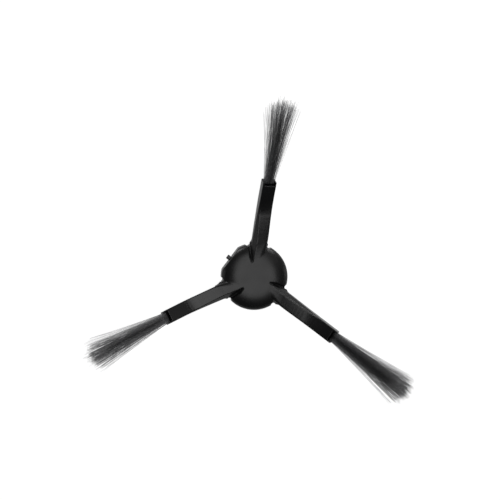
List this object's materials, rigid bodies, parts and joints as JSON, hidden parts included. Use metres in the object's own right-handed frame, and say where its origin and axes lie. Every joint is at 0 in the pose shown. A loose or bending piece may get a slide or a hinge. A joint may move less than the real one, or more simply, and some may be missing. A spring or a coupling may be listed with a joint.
{
  "type": "robot vacuum side brush",
  "caption": "Corner-sweeping brush for a floor robot: soft hub on a hard insert with a blind keyed bore, curved arms, and a fan of bristles in the sleeve at each arm's end.",
  "frame": {"origin": "on the hub's axis, at the mouth of the drive bore, in the plane of the rim that the brush rests on", "axes": "+Z along the hub's axis towards the crown, the side that faces the floor in use; +Y along one arm"},
  "size_m": [0.1521, 0.1328, 0.0294],
  "materials": {
    "soft_moulding": "matte moulded soft plastic",
    "hard_insert": "smooth moulded plastic",
    "bristles": "fine drawn filament"
  },
  "bodies": {
    "root": {"spider": "soft_moulding", "drive_core": "hard_insert", "tuft_1": "bristles", "tuft_2": "bristles", "tuft_3": "bristles"}
  },
  "joints": []
}
